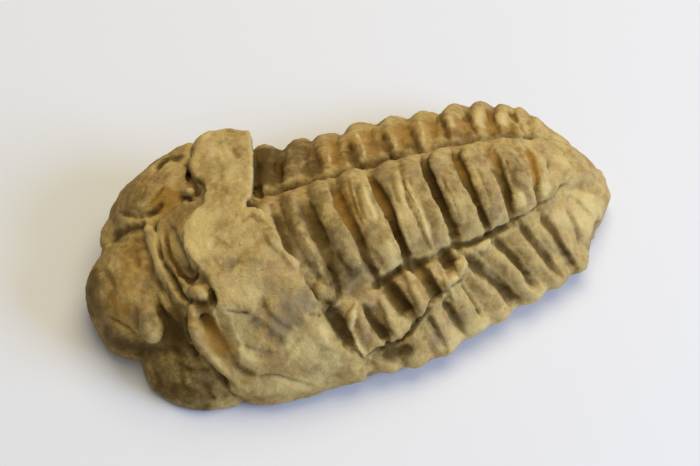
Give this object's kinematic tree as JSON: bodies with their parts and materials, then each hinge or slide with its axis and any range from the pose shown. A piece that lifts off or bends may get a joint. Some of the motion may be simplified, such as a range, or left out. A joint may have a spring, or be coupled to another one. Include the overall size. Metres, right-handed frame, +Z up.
{
  "type": "trilobite fossil",
  "caption": "Whole stone trilobite lying on its flat belly: ringed back and ribbed flanks, its head half covered by broken rock.",
  "frame": {"origin": "middle of the stone's footprint, on the surface it rests on", "axes": "+X runs from the head to the tail, +Y to the animal's left flank when it is seen from above with its head at the left, +Z up from the flat belly"},
  "size_m": [0.0802, 0.0464, 0.0202],
  "materials": {
    "fossil_stone": "dry, matte buff and ochre limestone with grey-brown and orange iron stain, darker in the grooves"
  },
  "bodies": {
    "root": {"trilobite": "fossil_stone"}
  },
  "joints": []
}
